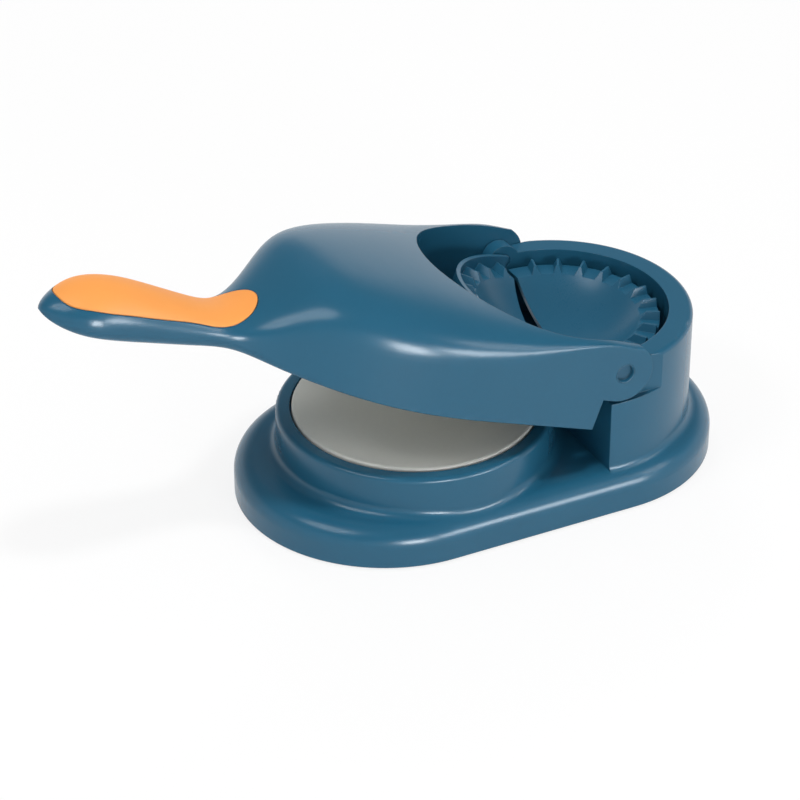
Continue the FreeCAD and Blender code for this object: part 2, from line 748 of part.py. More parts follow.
def lever_sections(start_x, end_x, half_width, height, rows):
    """Cross-sections in real sizes from rows of shares."""
    found = []
    for along, width, bottom, side, crown, fullness, under in rows:
        x = float(start_x) + (float(end_x) - float(start_x)) * along
        base = float(lever_bottom_z)
        low, turn, top = [base + float(height) * share for share in (bottom, side, crown)]
        found.append((x, float(half_width) * width, low, turn, top, fullness, float(height) * under))
    return found


def section_wire(section, inset, bottom_z):
    """One closed cross-section of the lever, drawn in by inset on its sides and top."""
    x, half, low, turn, top, fullness, edge = section
    half = half - inset
    turn = turn - inset
    top = top - inset
    if bottom_z is not None:
        low = bottom_z
        edge = float(cell("lid_edge_round"))
    lift = fullness * (top - turn)
    poles = [
        FreeCAD.Vector(x, half, turn),
        FreeCAD.Vector(x, half, turn + lift),
        FreeCAD.Vector(x, half * fullness, top),
        FreeCAD.Vector(x, 0, top),
        FreeCAD.Vector(x, -half * fullness, top),
        FreeCAD.Vector(x, -half, turn + lift),
        FreeCAD.Vector(x, -half, turn),
    ]
    over = Part.BSplineCurve()
    over.buildFromPolesMultsKnots(poles, [4, 3, 4], [0, 1, 2], False, 3)
    slant = edge * (1 - math.sqrt(0.5))
    near_side = FreeCAD.Vector(x, -half, low + edge)
    near_mid = FreeCAD.Vector(x, -half + slant, low + slant)
    near_foot = FreeCAD.Vector(x, -half + edge, low)
    far_foot = FreeCAD.Vector(x, half - edge, low)
    far_mid = FreeCAD.Vector(x, half - slant, low + slant)
    far_side = FreeCAD.Vector(x, half, low + edge)
    edges = [
        over.toShape(),
        Part.makeLine(poles[-1], near_side),
        Part.Arc(near_side, near_mid, near_foot).toShape(),
        Part.makeLine(near_foot, far_foot),
        Part.Arc(far_foot, far_mid, far_side).toShape(),
        Part.makeLine(far_side, poles[0]),
    ]
    return Part.Wire(edges)


def lever_loft(sections, inset=0.0, bottom_z=None):
    return Part.makeLoft([section_wire(section, inset, bottom_z) for section in sections], True)


def feature(name, shape):
    thing = doc.addObject("Part::Feature", name)
    thing.Shape = shape
    return thing


def block(low, high):
    start = FreeCAD.Vector(*[float(value) for value in low])
    end = FreeCAD.Vector(*[float(value) for value in high])
    span = end - start
    return Part.makeBox(span.x, span.y, span.z, start)


def upright(radius, low, high, x, y):
    foot = FreeCAD.Vector(float(x), float(y), float(low))
    return Part.makeCylinder(float(radius), float(high) - float(low), foot)


def cut_prism(spread):
    """The U-shaped cut-out, widened by spread, through the whole lid."""
    radius = cut_radius + spread
    low, high = lever_bottom_z - overrun, lid_top_z + overrun
    bow = upright(radius, low, high, cut_x, 0)
    run = block((cut_x, -radius, low), (hinge_x + base_half_width, radius, high))
    return bow.fuse(run)


def ear_prism():
    """Side profile of the hinge ears behind the lid's rear edge, through the whole width."""
    axis = FreeCAD.Vector(float(hinge_x), 0, float(hinge_z))
    radius = float(cell("ear_radius"))
    front = float(lever_rear_x - overrun)
    top = FreeCAD.Vector(float(hinge_x - cell("ear_run")), 0, float(hinge_z + cell("ear_rise")))
    to_axis = axis - top
    opening = math.asin(radius / to_axis.Length)
    run = math.sqrt(to_axis.Length**2 - radius**2)
    heading = math.atan2(to_axis.z, to_axis.x) + opening
    touch = top + FreeCAD.Vector(run * math.cos(heading), 0, run * math.sin(heading))
    heel = axis - FreeCAD.Vector(0, 0, radius)
    rear = axis + FreeCAD.Vector(radius, 0, 0)
    low_front = FreeCAD.Vector(front, 0, heel.z)
    high_front = FreeCAD.Vector(front, 0, top.z + float(overrun))
    high_rear = FreeCAD.Vector(top.x, 0, high_front.z)
    outline = [
        Part.makeLine(low_front, heel),
        Part.Arc(heel, rear, touch).toShape(),
        Part.makeLine(touch, top),
        Part.makeLine(top, high_rear),
        Part.makeLine(high_rear, high_front),
        Part.makeLine(high_front, low_front),
    ]
    face = Part.Face(Part.Wire(outline))
    face.translate(FreeCAD.Vector(0, -float(base_half_width), 0))
    return face.extrude(FreeCAD.Vector(0, float(base_half_width * 2), 0))


def inlay_prism(spread):
    """Upright prism over the outline of the handle's inlay, widened by spread."""
    start = lever_tip_x + cell("inlay_front_gap") - spread
    length = lid_front_x - cell("inlay_rear_gap") + spread - start
    half = grip_half_width - cell("inlay_margin") + spread
    near = [
        FreeCAD.Vector(float(start + length * along), -float(half * across), float(lever_bottom_z))
        for along, across in INLAY_SHARES
    ]
    far = [FreeCAD.Vector(point.x, -point.y, point.z) for point in near[1:-1]]
    curve = Part.BSplineCurve()
    curve.interpolate(near + far[::-1], PeriodicFlag=True)
    face = Part.Face(Part.Wire([curve.toShape()]))
    return face.extrude(FreeCAD.Vector(0, 0, float(lid_height)))


def inlay_column(spread, depth):
    """The inlay's prism from a depth under the handle's top, through that top and beyond."""
    floor = lever_outer.translated(FreeCAD.Vector(0, 0, -float(depth)))
    return inlay_prism(spread).cut(floor)


lid_sections = lever_sections(hinge_x, lid_front_x, ear_outer_y, lid_height, LID_SHARES)
grip_height = cell("grip_height")
handle_sections = lever_sections(lid_front_x, lever_tip_x, grip_half_width, grip_height, HANDLE_SHARES)
lever_outer = lever_loft(lid_sections + handle_sections)
lever_inner = lever_loft(lid_sections, float(wall), float(lever_bottom_z - overrun))


def make_lever_shell():
    """Lid, ears and handle in one moulding, hollow under the lid."""
    rear_side = block(
        (lever_rear_x, -base_half_width, lever_bottom_z - overrun),
        (hinge_x + base_half_width, base_half_width, lid_top_z + overrun),
    )
    solid = lever_outer.cut(rear_side.cut(ear_prism())).cut(cut_prism(0))
    above_cover = block(
        (lever_tip_x, -base_half_width, under_cover_top_z),
        (hinge_x + base_half_width, base_half_width, lid_top_z + overrun),
    )
    shell = solid.cut(lever_inner.cut(cut_prism(wall).common(above_cover)))
    mid_wall = lever_loft(lid_sections, float(wall / 2), float(lever_bottom_z - overrun))
    boss_radius = cell("lid_boss_radius")
    bosses = [upright(boss_radius, under_cover_top_z, lid_top_z, x, y) for x, y in lid_boss_places]
    shell = shell.fuse([boss.common(mid_wall) for boss in bosses])
    pilot = cell("screw_radius") + cell("screw_fit")
    holes = [
        upright(pilot, under_cover_top_z - overrun, under_cover_top_z + cell("screw_length"), x, y)
        for x, y in lid_boss_places
    ]
    span = float(base_half_width * 2)
    start = FreeCAD.Vector(float(hinge_x), -float(base_half_width), float(hinge_z))
    holes.append(Part.makeCylinder(float(pin_bore_radius), span, start, SIDEWAYS))
    seat_radius = float(cell("pin_head_radius") + cell("pin_fit"))
    seat_y = float(ear_outer_y - cell("pin_head_length"))
    for side in (1, -1):
        mouth = FreeCAD.Vector(float(hinge_x), side * seat_y, float(hinge_z))
        holes.append(Part.makeCylinder(seat_radius, float(base_half_width), mouth, SIDEWAYS * side))
    holes.append(inlay_column(cell("inlay_gap"), cell("inlay_thickness") + cell("inlay_bed")))
    return feature("lever_shell", shell.cut(holes).removeSplitter())


def make_handle_inlay():
    return feature("handle_inlay", inlay_column(ZERO, cell("inlay_thickness")).common(lever_outer))


def make_under_cover():
    """Flat cover under the lid, and the floor of the cut-out."""
    fit = cell("cover_fit")
    inside = lever_loft(lid_sections, float(wall + fit), float(lever_bottom_z - overrun))
    low = (lever_tip_x, -base_half_width, under_cover_z)
    cover = inside.common(block(low, (lever_rear_x - fit, base_half_width, under_cover_top_z)))
    pass_radius = cell("screw_radius") + cell("screw_fit")
    low, high = under_cover_z - overrun, under_cover_top_z + overrun
    places = lid_boss_places + front_boss_places + upper_screw_places
    holes = [upright(pass_radius, low, high, x, y) for x, y in places]
    return feature("lever_under_cover", cover.cut(holes))


def make_upper_press_plate():
    radius = upper_plate_radius
    thickness = cell("upper_plate_thickness")
    outline = [(ZERO, ZERO), (radius, ZERO), (radius, thickness), (ZERO, thickness)]
    blank = turned("upper_plate_blank", outline, [((radius, ZERO), cell("plate_round"))])
    move_to(blank, cup_x, ZERO, upper_plate_z)
    head = cell("screw_head_length") + cell("screw_fit")
    head_radius = cell("screw_head_radius") + cell("screw_fit")
    cuts = []
    for number, (x, y) in enumerate(lid_boss_places + front_boss_places):
        cuts.append(cylinder(f"head_room_{number}", head_radius, head + overrun, x, y, under_cover_z - head))
    for number, (x, y) in enumerate(upper_screw_places):
        tip_z = under_cover_top_z - cell("short_screw_length")
        cuts.append(screw_hole(f"upper_pilot_{number}", x, y, tip_z, under_cover_top_z))
    return cut("upper_press_plate", blank, cuts)


def make_hinge_pin(name, side):
    head = cell("pin_head_length")
    length = ear_outer_y - well_radius
    edge = cell("pin_round")
    outline = [
        (ZERO, ZERO),
        (cell("pin_head_radius") - edge, ZERO),
        (cell("pin_head_radius"), edge),
        (cell("pin_head_radius"), head),
        (cell("pin_radius"), head),
        (cell("pin_radius"), length),
        (ZERO, length),
    ]
    pin = turned(name, outline)
    pin.Placement.Rotation = FreeCAD.Rotation(FreeCAD.Vector(1, 0, 0), 90 * side)
    return move_to(pin, hinge_x, ear_outer_y * side, hinge_z)


def make_pieces():
    long_screw = cell("screw_length")
    standing = [make_base_shell(), make_bottom_cover(), make_lower_press_plate()]
    for name, (x, y) in foot_places.items():
        standing.append(make_foot(name, x, y))
    cover_seat = base_bottom_z + cell("screw_head_length")
    standing.append(screws("cover_screws", cover_screw_places, cover_seat, long_screw))
    standing.append(make_mould("rear_mould", rear_mould_radius, well_floor_z, 0, 0, rear_boss_places, False))
    mould_seat = well_floor_z - wall
    standing.append(screws("rear_mould_screws", rear_boss_places, mould_seat, long_screw))

    swinging = [make_lever_shell(), make_handle_inlay(), make_under_cover(), make_upper_press_plate()]
    floor_z = under_cover_top_z
    swinging.append(make_mould("front_mould", trim_inner_radius, floor_z, 180, 0.5, front_boss_places, True))
    swinging.append(screws("under_cover_screws", lid_boss_places, under_cover_z, long_screw))
    swinging.append(screws("front_mould_screws", front_boss_places, under_cover_z, long_screw))
    short_screw = cell("short_screw_length")
    swinging.append(screws("upper_plate_screws", upper_screw_places, floor_z, short_screw, False))
    swinging.append(make_hinge_pin("hinge_pin_left", -1))
    swinging.append(make_hinge_pin("hinge_pin_right", 1))
    doc.recompute()
    for piece in swinging:
        opened(piece)
    doc.recompute()
    return standing + swinging


pieces = make_pieces()
for thing in doc.Objects:
    if "Invalid" in thing.State or "Error" in thing.State:
        raise RuntimeError(f"{thing.Name} failed: {thing.State}")
for piece in pieces:
    if piece.Shape.isNull() or not piece.Shape.isValid() or not piece.Shape.Solids:
        raise RuntimeError(f"{piece.Label} has no valid solid")
os.makedirs("parts", exist_ok=True)
for piece in pieces:
    piece.Shape.exportStep(f"parts/{piece.Label}.step")
    print(piece.Label, len(piece.Shape.Solids), round(piece.Shape.Volume), piece.Shape.BoundBox)
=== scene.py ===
import math

import bpy
from mathutils import Matrix, Vector


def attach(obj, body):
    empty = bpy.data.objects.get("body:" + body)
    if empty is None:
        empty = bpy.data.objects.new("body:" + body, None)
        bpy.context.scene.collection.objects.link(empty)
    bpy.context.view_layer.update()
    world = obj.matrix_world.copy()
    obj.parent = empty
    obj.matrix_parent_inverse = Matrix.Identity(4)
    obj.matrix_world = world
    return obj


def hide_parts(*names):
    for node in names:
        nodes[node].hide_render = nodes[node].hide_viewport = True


# Looks of a dumpling maker: satin blue mouldings, an orange grip, off-white press plates.
# Lengths are in metres. +X points to the rear, +Z up, and the feet stand on z = 0.

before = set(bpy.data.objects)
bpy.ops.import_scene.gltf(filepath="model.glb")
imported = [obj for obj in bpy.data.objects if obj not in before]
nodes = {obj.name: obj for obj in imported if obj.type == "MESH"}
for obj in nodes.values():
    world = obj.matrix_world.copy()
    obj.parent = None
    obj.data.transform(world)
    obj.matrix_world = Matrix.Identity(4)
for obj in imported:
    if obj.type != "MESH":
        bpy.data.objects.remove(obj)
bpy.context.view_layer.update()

MILLIMETRE = 0.001
PHOTO_PIXELS = 800
SENSOR_WIDTH = 36.0

# The camera stands where the photograph was taken from
VIEW_AZIMUTH = math.radians(-26.62)
VIEW_ELEVATION = math.radians(31.8)
VIEW_DISTANCE = 1.2
PIXELS_PER_METRE = 2480
AIM_RIGHT = -29.96 * MILLIMETRE
AIM_UP = 23.83 * MILLIMETRE

# Light of the studio dome on the object, at the horizon and more towards the zenith
DOME_LOW = 0.21
DOME_RISE = 0.42
DOME_POWER = 1.5
# The backdrop is white up to this height of the view, and a dim ceiling from the next one up
BACKDROP_TOP = 0.15
CEILING_FOOT = 0.50
CEILING_LEVEL = 0.20
# Share of the floor's white that its shadow leaves alone
FLOOR_GLOW = 0.82
FLOOR_SIZE = 6
FLOOR_ROUGHNESS = 0.9
PAPER_CLOUD = 0.4

# The lamps stand round the lid
LAMP_AIM = Vector((-30, 0, 60)) * MILLIMETRE
LAMP_DISTANCE = 1.6
# Each lamp's azimuth and elevation in degrees, its width and height, and its watts.
# Light boxes leave no highlight, and glint boxes leave nothing else.
LIGHT_BOXES = {
    "front_box": (2, 8, 0.30, 0.30, 6.5),
    "left_box": (-80, 50, 0.50, 0.30, 5.0),
    "right_box": (50, 30, 0.30, 0.30, 1.2),
    "top_box": (8, 76, 0.18, 0.18, 9.0),
    "rear_fill": (165, 35, 0.50, 0.50, 4.0),
}
GLINT_BOXES = {
    "front_glint": (-6, 6, 0.50, 0.36, 18.0),
    "front_strip": (24, 10, 0.60, 0.40, 14.0),
    "left_glint": (-80, 50, 0.70, 0.45, 10.0),
    "right_glint": (50, 30, 0.40, 0.40, 8.0),
}

# Plastic and rubber: how they bend and mirror light
PLASTIC_IOR = 1.45
PLASTIC_SHINE = 0.4
# Samples that round the shading of a sharp edge
EDGE_SAMPLES = 6
# Moulded plastic: broad flow marks and a fine mottle in its colour, an eroded grain on its skin
FLOW_SIZE = 38 * MILLIMETRE
FLOW_SHARE = 0.7
FLOW_GLOSS = 0.06
MOTTLE_SIZE = 2.2 * MILLIMETRE
GRAIN_GLOSS = 0.06
GRAIN_DEPTH = 0.02 * MILLIMETRE
GRAIN_STRENGTH = 0.25
# Grip rubber: broad clouds in its colour, pebbles on its skin
CLOUD_SIZE = 26 * MILLIMETRE
CLOUD_SHARE = 0.8
PEBBLE_SIZE = 0.55 * MILLIMETRE
PEBBLE_GLOSS = 0.12
PEBBLE_DEPTH = 0.05 * MILLIMETRE
PEBBLE_STRENGTH = 0.4
GRIP_ROUGHNESS = 0.46
GRIP_EDGE = 0.6 * MILLIMETRE
# Plated steel: small clouds in its colour and gloss
PLATING_SIZE = 0.8 * MILLIMETRE
PLATING_GLOSS = 0.15
STEEL_ROUGHNESS = 0.28


def srgb(red, green, blue):
    """A colour in 0 to 255, as the linear numbers that a shader takes."""
    channels = []
    for level in (red, green, blue):
        share = level / 255
        linear = share / 12.92 if share <= 0.04045 else ((share + 0.055) / 1.055) ** 2.4
        channels.append(linear)
    return (*channels, 1.0)


BLUE = srgb(36, 95, 123)
BLUE_DEEP = srgb(32, 88, 116)
ORANGE = srgb(250, 166, 84)
ORANGE_DEEP = srgb(243, 155, 74)
OFF_WHITE = srgb(206, 207, 202)
OFF_WHITE_DEEP = srgb(196, 197, 191)
RUBBER_BLACK = srgb(38, 38, 40)
RUBBER_GREY = srgb(52, 52, 54)
STEEL_LIGHT = srgb(196, 198, 202)
STEEL_DARK = srgb(150, 153, 158)
PAPER_WHITE = srgb(250, 250, 250)
PAPER_BRIGHT = srgb(252, 252, 252)


class Value:
    """A shader socket for Python sums: each operator adds a Math node to its tree."""

    def __init__(self, tree, socket):
        self.tree = tree
        self.socket = socket

    def node(self, kind, settings, inputs, output=0):
        """Any node: its settings first, then the values or links of its sockets."""
        made = self.tree.nodes.new(kind)
        for name, setting in settings.items():
            setattr(made, name, setting)
        for name, value in inputs.items():
            join(self.tree, value, made.inputs[name])
        return Value(self.tree, made.outputs[output])

    def math(self, operation, first, second):
        """A Math node on two values or numbers."""
        return self.node("ShaderNodeMath", {"operation": operation}, {0: first, 1: second})

    def __add__(self, other):
        return self.math("ADD", self, other)

    def __radd__(self, other):
        return self.math("ADD", other, self)

    def __sub__(self, other):
        return self.math("SUBTRACT", self, other)

    def __rsub__(self, other):
        return self.math("SUBTRACT", other, self)

    def __mul__(self, other):
        return self.math("MULTIPLY", self, other)

    def __rmul__(self, other):
        return self.math("MULTIPLY", other, self)

    def __pow__(self, other):
        return self.math("POWER", self, other)

    def over(self, other):
        """The larger of this value and another."""
        return self.math("MAXIMUM", self, other)

    def mixed(self, low, high):
        """A colour between low and high, by this value."""
        settings = {"data_type": "RGBA", "clamp_factor": True}
        return self.node("ShaderNodeMix", settings, {0: self, 6: low, 7: high}, output=2)

    def noise(self, feature, detail=2.0, roughness=0.5):
        """Noise whose features are about that many metres across, read at these coordinates."""
        inputs = {"Vector": self, "Scale": 1 / feature, "Detail": detail, "Roughness": roughness}
        return self.node("ShaderNodeTexNoise", {}, inputs)

    def eased(self, radius):
        """The normal with its sharp edges rounded over by that radius."""
        return self.node("ShaderNodeBevel", {"samples": EDGE_SAMPLES}, {"Radius": radius})

    def bump(self, depth, strength, normal):
        """A normal raised by this height, where 1 is depth metres."""
        inputs = {"Height": self, "Distance": depth, "Strength": strength, "Normal": normal}
        return self.node("ShaderNodeBump", {}, inputs)


def join(tree, value, socket):
    """Link a value to a socket, or set the socket to a plain number or colour."""
    if isinstance(value, Value):
        tree.links.new(value.socket, socket)
    else:
        socket.default_value = value


def new_material(name, **shader_numbers):
    """A Principled material, with its even numbers set, and its Object coordinates."""
    material = bpy.data.materials.new(name)
    material.use_nodes = True
    tree = material.node_tree
    shader = tree.nodes["Principled BSDF"]
    for socket, number in shader_numbers.items():
        shader.inputs[socket.replace("_", " ")].default_value = number
    coordinates = tree.nodes.new("ShaderNodeTexCoord")
    return material, shader, Value(tree, coordinates.outputs["Object"])


def finish_with(shader, **links):
    """Link what changes over the surface to the shader's sockets."""
    for socket, value in links.items():
        join(value.tree, value, shader.inputs[socket.replace("_", " ")])


def moulded_plastic(name, colour, deep, gloss, grain, edge):
    """Injection moulded plastic: a fine eroded grain, faint flow shading and a satin sheen."""
    material, shader, place = new_material(name, IOR=PLASTIC_IOR, Specular_IOR_Level=PLASTIC_SHINE)
    flow = place.noise(FLOW_SIZE, detail=3.0)
    mottle = place.noise(MOTTLE_SIZE, detail=2.0)
    grain_height = place.noise(grain, detail=2.0, roughness=0.6)
    shade = flow * FLOW_SHARE + mottle * (1 - FLOW_SHARE)
    finish_with(
        shader,
        Base_Color=shade.mixed(deep, colour),
        Roughness=(flow - 0.5) * FLOW_GLOSS + grain_height * GRAIN_GLOSS + gloss,
        Normal=grain_height.bump(GRAIN_DEPTH, GRAIN_STRENGTH, place.eased(edge)),
    )
    return material


def grip_rubber(name, colour, deep):
    """Soft grip with a fine pebbled skin."""
    material, shader, place = new_material(name, IOR=PLASTIC_IOR)
    cloud = place.noise(CLOUD_SIZE, detail=3.0)
    pebble = place.noise(PEBBLE_SIZE, detail=1.0)
    shade = cloud * CLOUD_SHARE + pebble * (1 - CLOUD_SHARE)
    finish_with(
        shader,
        Base_Color=shade.mixed(deep, colour),
        Roughness=pebble * PEBBLE_GLOSS + GRIP_ROUGHNESS,
        Normal=pebble.bump(PEBBLE_DEPTH, PEBBLE_STRENGTH, place.eased(GRIP_EDGE)),
    )
    return material


def plated_steel(name, light, dark):
    """Zinc plated steel with a faint clouding."""
    material, shader, place = new_material(name, Metallic=1.0)
    cloud = place.noise(PLATING_SIZE, detail=3.0)
    finish_with(
        shader,
        Base_Color=cloud.mixed(dark, light),
        Roughness=cloud * PLATING_GLOSS + STEEL_ROUGHNESS,
    )
    return material


BLUE_PLASTIC = moulded_plastic(
    "satin_blue", BLUE, BLUE_DEEP, gloss=0.22, grain=0.35 * MILLIMETRE, edge=0.5 * MILLIMETRE
)
MOULD_PLASTIC = moulded_plastic(
    "mould_blue", BLUE, BLUE_DEEP, gloss=0.26, grain=0.30 * MILLIMETRE, edge=0.3 * MILLIMETRE
)
PLATE_PLASTIC = moulded_plastic(
    "plate_white", OFF_WHITE, OFF_WHITE_DEEP, gloss=0.34, grain=0.5 * MILLIMETRE, edge=0.4 * MILLIMETRE
)
GRIP = grip_rubber("orange_grip", ORANGE, ORANGE_DEEP)
FOOT_RUBBER = grip_rubber("foot_rubber", RUBBER_GREY, RUBBER_BLACK)
SCREW_STEEL = plated_steel("screw_steel", STEEL_LIGHT, STEEL_DARK)

FINISHES = {
    "base_shell": BLUE_PLASTIC,
    "bottom_cover": BLUE_PLASTIC,
    "lower_press_plate": PLATE_PLASTIC,
    "rear_mould": MOULD_PLASTIC,
    "rear_mould_screws": SCREW_STEEL,
    "lever_shell": BLUE_PLASTIC,
    "handle_inlay": GRIP,
    "lever_under_cover": BLUE_PLASTIC,
    "upper_press_plate": PLATE_PLASTIC,
    "front_mould": MOULD_PLASTIC,
    "under_cover_screws": SCREW_STEEL,
    "front_mould_screws": SCREW_STEEL,
    "upper_plate_screws": SCREW_STEEL,
}
for name, material in FINISHES.items():
    for slot in nodes[name].material_slots:
        slot.material = material


# Edges sharper than the first are eased, and faces that meet under the second are shaded as one
SHARP_ANGLE = math.radians(40)
SMOOTH_ANGLE = math.radians(35)
# A face whose normal has this much of z looks straight up or down
LEVEL_SHARE = 0.99


def deselect_all():
    bpy.ops.object.select_all(action="DESELECT")


def take(piece):
    """Make one piece the only one selected, and active."""
    deselect_all()
    piece.select_set(True)
    bpy.context.view_layer.objects.active = piece


def settle():
    """Put the active piece's place, turn and size into its mesh."""
    bpy.ops.object.transform_apply(location=True, rotation=True, scale=True)


def pick_faces(piece, wanted):
    """Go to edit mode with the faces selected that the test picks."""
    bpy.ops.object.mode_set(mode="EDIT")
    bpy.ops.mesh.select_mode(type="FACE")
    bpy.ops.mesh.select_all(action="DESELECT")
    bpy.ops.object.mode_set(mode="OBJECT")
    for face in piece.data.polygons:
        face.select = wanted(face)
    bpy.ops.object.mode_set(mode="EDIT")


def extrude_by(x=0.0, y=0.0, z=0.0):
    bpy.ops.mesh.extrude_region_move(TRANSFORM_OT_translate={"value": (x, y, z)})


def leave_edit():
    bpy.ops.object.mode_set(mode="OBJECT")


def ease_edges(piece, width, segments=2):
    """A bevel modifier over the sharp edges, applied."""
    modifier = piece.modifiers.new("eased", "BEVEL")
    modifier.width = width
    modifier.segments = segments
    modifier.limit_method = "ANGLE"
    modifier.angle_limit = SHARP_ANGLE
    bpy.ops.object.modifier_apply(modifier=modifier.name)


def smooth(piece):
    take(piece)
    bpy.ops.object.shade_smooth_by_angle(angle=SMOOTH_ANGLE)


def copied(piece, name, place):
    """A copy with its own mesh, moved by place."""
    twin = piece.copy()
    twin.data = piece.data.copy()
    twin.data.transform(Matrix.Translation(place))
    twin.name = name
    bpy.context.scene.collection.objects.link(twin)
    return twin


def dressed(piece, body, node, material):
    """Material and body of a finished piece, and the CAD node that it hides."""
    piece.data.materials.clear()
    piece.data.materials.append(material)
    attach(piece, body)
    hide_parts(node)


def drum(name, radius, depth, sides=48):
    """A round blank on z = 0, as the start of a turned piece."""
    deselect_all()
    middle = (0, 0, depth / 2)
    bpy.ops.mesh.primitive_cylinder_add(vertices=sides, radius=radius, depth=depth, location=middle)
    piece = bpy.context.object
    piece.name = name
    settle()
    return piece


def faces_down(face):
    return face.normal.z < -LEVEL_SHARE


def faces_up(face):
    return face.normal.z > LEVEL_SHARE


# Height of the heads' outer faces, in millimetres as in the places below
SCREW_FACE_Z = 1.0
SCREW_PLACES = [
    Vector((x, y * side, SCREW_FACE_Z)) * MILLIMETRE
    for x, y in ((-80.0, 28.5), (16.0, 49.02), (83.0, 23.94))
    for side in (1, -1)
]
SCREW_HEAD_RADIUS = 2.6 * MILLIMETRE
SCREW_HEAD = 1.4 * MILLIMETRE
SCREW_SHANK_RADIUS = 1.3 * MILLIMETRE
SCREW_SHANK = 8.0 * MILLIMETRE
SCREW_EASE = 0.3 * MILLIMETRE
CROSS_LENGTH = 3.2 * MILLIMETRE
CROSS_WIDTH = 0.65 * MILLIMETRE
CROSS_DEPTH = 0.9 * MILLIMETRE


def model_screw():
    """A pan-head screw with a cross recess, head down, its head's top on z = 0."""
    piece = drum("cover_screw", SCREW_HEAD_RADIUS, SCREW_HEAD)
    pick_faces(piece, faces_up)
    bpy.ops.mesh.inset(thickness=SCREW_HEAD_RADIUS - SCREW_SHANK_RADIUS)
    extrude_by(z=SCREW_SHANK)
    leave_edit()
    ease_edges(piece, SCREW_EASE)
    bpy.ops.mesh.primitive_cube_add(size=1, scale=(CROSS_LENGTH, CROSS_WIDTH, CROSS_DEPTH * 2))
    cutter = bpy.context.object
    settle()
    bpy.ops.object.mode_set(mode="EDIT")
    bpy.ops.mesh.select_all(action="SELECT")
    bpy.ops.mesh.duplicate()
    bpy.ops.transform.rotate(value=math.pi / 2, orient_axis="Z", center_override=(0, 0, 0))
    leave_edit()
    take(piece)
    recess = piece.modifiers.new("recess", "BOOLEAN")
    recess.operation = "DIFFERENCE"
    recess.object = cutter
    recess.use_self = True
    bpy.ops.object.modifier_apply(modifier=recess.name)
    bpy.data.objects.remove(cutter)
    smooth(piece)
    return piece


# Middles of the feet, in millimetres
FOOT_PLACES = {
    "foot_front_left": (-68.0, -36.0),
    "foot_front_right": (-68.0, 36.0),
    "foot_rear_left": (68.0, -36.0),
    "foot_rear_right": (68.0, 36.0),
    "foot_middle": (0.0, 0.0),
}
FOOT_RADIUS = 7.0 * MILLIMETRE
FOOT_HEIGHT = 2.0 * MILLIMETRE
# Inner and outer radius of each groove, the outer groove first
FOOT_GROOVES = [
    (4.6 * MILLIMETRE, 5.4 * MILLIMETRE),
    (2.4 * MILLIMETRE, 3.2 * MILLIMETRE),
]
FOOT_GROOVE_DEPTH = 0.5 * MILLIMETRE
FOOT_EASE = 0.15 * MILLIMETRE
GROOVE_REACH = 0.2 * MILLIMETRE


def tread_ring(middle):
    """A test that picks the tread's flat faces about that far from its centre."""

    def wanted(face):
        return faces_down(face) and abs(face.center.xy.length - middle) < GROOVE_REACH

    return wanted


def model_foot():
    """A rubber pad with two round grooves in its tread."""
    piece = drum("foot", FOOT_RADIUS, FOOT_HEIGHT, sides=64)
    pick_faces(piece, faces_down)
    edge = FOOT_RADIUS
    for inner, outer in FOOT_GROOVES:
        for radius in (outer, inner):
            bpy.ops.mesh.inset(thickness=edge - radius)
            edge = radius
    leave_edit()
    for inner, outer in FOOT_GROOVES:
        pick_faces(piece, tread_ring((inner + outer) / 2))
        extrude_by(z=FOOT_GROOVE_DEPTH)
        leave_edit()
    ease_edges(piece, FOOT_EASE)
    smooth(piece)
    return piece


HINGE = Vector((36.0, 0.0, 60.0)) * MILLIMETRE
EAR_FACE = 54.5 * MILLIMETRE
PIN_HEAD_RADIUS = 4.0 * MILLIMETRE
PIN_HEAD = 1.6 * MILLIMETRE
PIN_RADIUS = 3.0 * MILLIMETRE
PIN_SHANK = 8.4 * MILLIMETRE
PIN_RIM = 0.45 * MILLIMETRE
PIN_DISH = 1.8 * MILLIMETRE
PIN_EASE = 0.25 * MILLIMETRE


def model_pin(name, side):
    """A hinge pin with a dished head, in the left ear for side -1 and the right one for 1."""
    piece = drum(name, PIN_HEAD_RADIUS, PIN_HEAD)
    pick_faces(piece, faces_up)
    bpy.ops.mesh.inset(thickness=PIN_HEAD_RADIUS - PIN_RADIUS)
    extrude_by(z=PIN_SHANK)
    leave_edit()
    pick_faces(piece, faces_down)
    bpy.ops.mesh.inset(thickness=PIN_RIM)
    extrude_by(z=PIN_DISH)
    leave_edit()
    ease_edges(piece, PIN_EASE)
    piece.rotation_euler = (math.pi / 2 * side, 0, 0)
    piece.location = HINGE + Vector((0, EAR_FACE * side, 0))
    settle()
    smooth(piece)
    return piece


first_screw = model_screw()
for number, place in enumerate(SCREW_PLACES):
    screw = copied(first_screw, f"cover_screw_{number}", place)
    dressed(screw, "base", "cover_screws", SCREW_STEEL)
bpy.data.objects.remove(first_screw)

first_foot = model_foot()
for name, (x, y) in FOOT_PLACES.items():
    pad = copied(first_foot, name.replace("foot", "pad"), Vector((x, y, 0)) * MILLIMETRE)
    dressed(pad, "base", name, FOOT_RUBBER)
bpy.data.objects.remove(first_foot)

for name, side in (("left", -1), ("right", 1)):
    pin = model_pin(f"pin_{name}", side)
    dressed(pin, "lever", f"hinge_pin_{name}", MOULD_PLASTIC)


def direction(azimuth, elevation):
    """A unit step from the object outwards, with azimuth 0 towards -Y. Both angles are in radians."""
    level = math.cos(elevation)
    return Vector((math.sin(azimuth) * level, -math.cos(azimuth) * level, math.sin(elevation)))


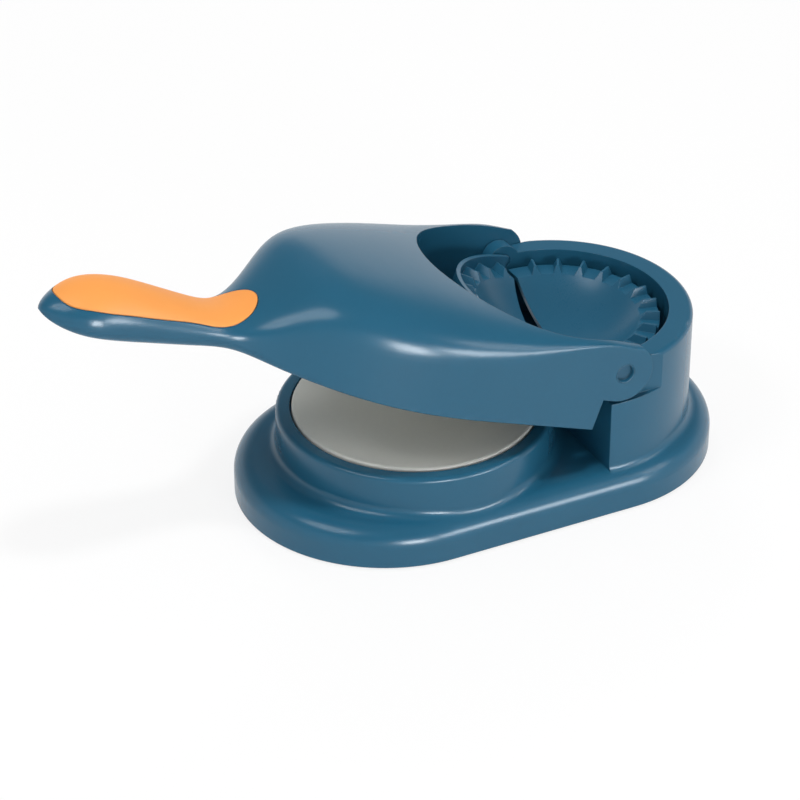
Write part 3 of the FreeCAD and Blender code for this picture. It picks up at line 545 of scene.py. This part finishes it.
def make_camera():
    """The camera of the photograph's view, aimed beside the origin to frame the object as it does."""
    across = Vector((math.cos(VIEW_AZIMUTH), math.sin(VIEW_AZIMUTH), 0))
    back = direction(VIEW_AZIMUTH, VIEW_ELEVATION)
    up = back.cross(across)
    data = bpy.data.cameras.new("camera")
    data.sensor_width = SENSOR_WIDTH
    data.lens = PIXELS_PER_METRE * VIEW_DISTANCE * SENSOR_WIDTH / PHOTO_PIXELS
    data.clip_start = VIEW_DISTANCE / 100
    camera = bpy.data.objects.new("camera", data)
    camera.location = across * AIM_RIGHT + up * AIM_UP + back * VIEW_DISTANCE
    camera.rotation_mode = "QUATERNION"
    camera.rotation_quaternion = (-back).to_track_quat("-Z", "Y")
    bpy.context.scene.collection.objects.link(camera)
    bpy.context.scene.camera = camera


def soft_box(name, azimuth, elevation, width, height, power, glint=False):
    """An area lamp that shines on the lid from a direction in degrees.

    A glint lamp shows only as a highlight on gloss, and the others only as light.
    """
    away = direction(math.radians(azimuth), math.radians(elevation))
    data = bpy.data.lights.new(name, "AREA")
    data.shape = "RECTANGLE"
    data.size = width
    data.size_y = height
    data.energy = power
    lamp = bpy.data.objects.new(name, data)
    lamp.location = LAMP_AIM + away * LAMP_DISTANCE
    lamp.rotation_mode = "QUATERNION"
    lamp.rotation_quaternion = (-away).to_track_quat("-Z", "Y")
    lamp.visible_glossy = glint
    lamp.visible_diffuse = not glint
    bpy.context.scene.collection.objects.link(lamp)


def seen_rays(tree):
    """1 for what the camera, mirrors and glass see, 0 for the light on other surfaces."""
    path = tree.nodes.new("ShaderNodeLightPath")
    camera_ray, glossy, clear = [
        Value(tree, path.outputs[f"Is {ray} Ray"]) for ray in ("Camera", "Glossy", "Transmission")
    ]
    return camera_ray.over(glossy).over(clear)


def make_world():
    """White round the horizon where it is seen, and a dome, brighter overhead, where it lights."""
    world = bpy.data.worlds.new("studio")
    world.use_nodes = True
    bpy.context.scene.world = world
    tree = world.node_tree
    background = tree.nodes["Background"]
    background.inputs["Color"].default_value = (1, 1, 1, 1)
    ray = Value(tree, tree.nodes.new("ShaderNodeTexCoord").outputs["Generated"])
    height = ray.node("ShaderNodeSeparateXYZ", {}, {"Vector": ray}, output="Z").over(0)
    dome = height**DOME_POWER * DOME_RISE + DOME_LOW
    fall = {
        "Value": height,
        "From Min": BACKDROP_TOP,
        "From Max": CEILING_FOOT,
        "To Min": 1.0,
        "To Max": CEILING_LEVEL,
    }
    smooth_fall = {"interpolation_type": "SMOOTHSTEP"}
    backdrop = height.node("ShaderNodeMapRange", smooth_fall, fall, output="Result")
    seen = seen_rays(tree)
    join(tree, seen * backdrop + (1 - seen) * dome, background.inputs["Strength"])


def make_floor():
    """White paper that glows where it is seen, so that shadows on it stay faint."""
    deselect_all()
    bpy.ops.mesh.primitive_plane_add(size=FLOOR_SIZE)
    floor = bpy.context.object
    floor.name = "floor"
    material, shader, place = new_material("floor_paper", Roughness=FLOOR_ROUGHNESS)
    tree = material.node_tree
    tint = place.noise(PAPER_CLOUD, detail=2.0)
    finish_with(shader, Base_Color=tint.mixed(PAPER_WHITE, PAPER_BRIGHT))
    glow = place.node("ShaderNodeEmission", {}, {"Color": (1, 1, 1, 1), "Strength": 1.0})
    paper = Value(tree, shader.outputs["BSDF"])
    share = seen_rays(tree) * FLOOR_GLOW
    mix = place.node("ShaderNodeMixShader", {}, {0: share, 1: paper, 2: glow})
    join(tree, mix, tree.nodes["Material Output"].inputs["Surface"])
    floor.data.materials.append(material)


make_camera()
make_world()
make_floor()
for name, setup in LIGHT_BOXES.items():
    soft_box(name, *setup)
for name, setup in GLINT_BOXES.items():
    soft_box(name, *setup, glint=True)

bpy.context.scene.view_settings.view_transform = "Standard"
